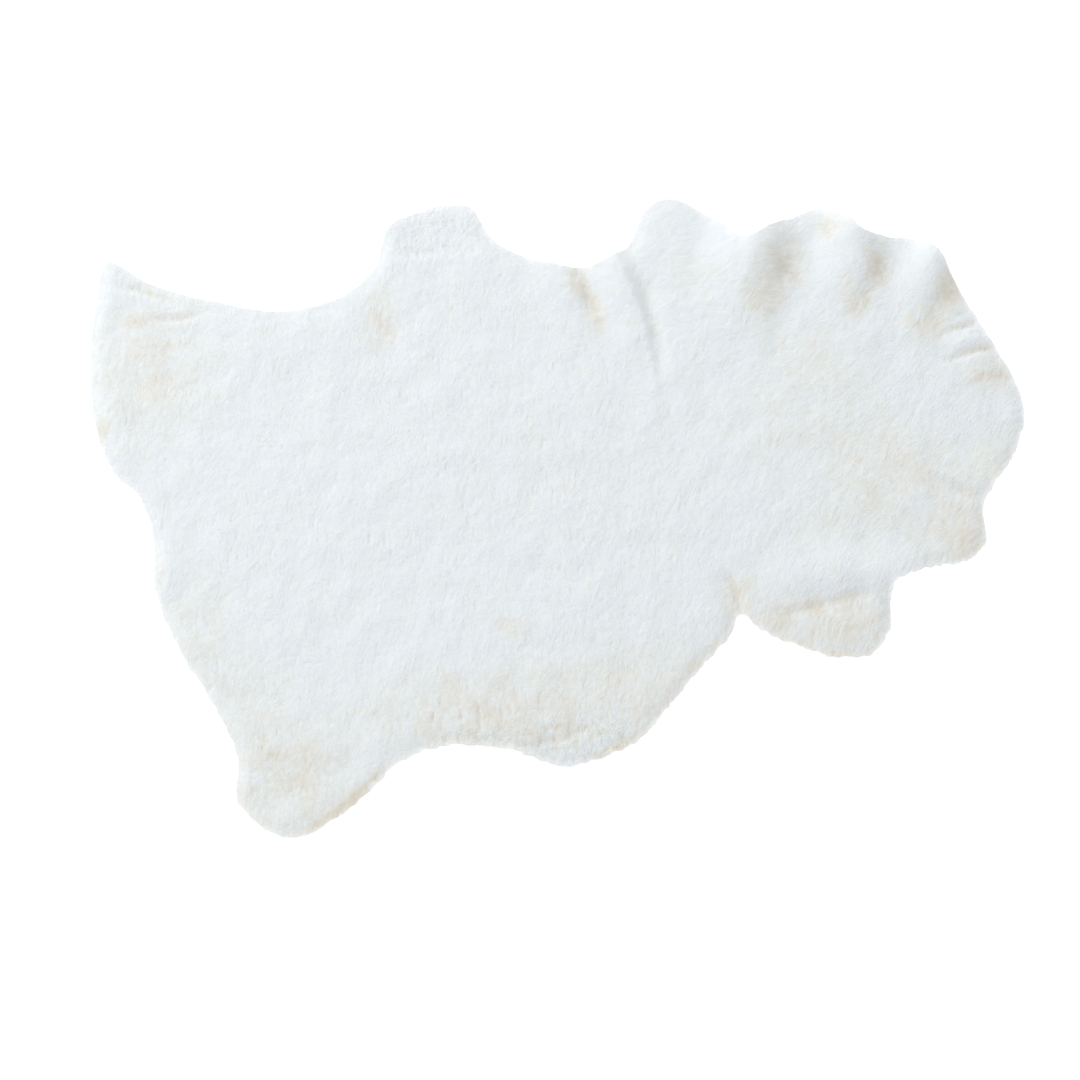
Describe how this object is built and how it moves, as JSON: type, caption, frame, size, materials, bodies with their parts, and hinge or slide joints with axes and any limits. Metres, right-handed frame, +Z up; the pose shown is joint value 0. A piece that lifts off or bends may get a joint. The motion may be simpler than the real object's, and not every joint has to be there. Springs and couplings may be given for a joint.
{
  "type": "sheepskin rug",
  "caption": "Shorn natural sheepskin rug in the pelt's own outline, lying flat wool side up, its upper edge ruffled.",
  "frame": {"origin": "centre of the rug's outline box, on the floor under it", "axes": "+X along the pelt from rump to neck, +Y towards its ruffled edge, +Z up out of the wool"},
  "size_m": [1.0562, 0.7922, 0.0442],
  "materials": {
    "wool_on_hide": "matte shorn wool"
  },
  "bodies": {
    "root": {"pelt": "wool_on_hide"}
  },
  "joints": []
}
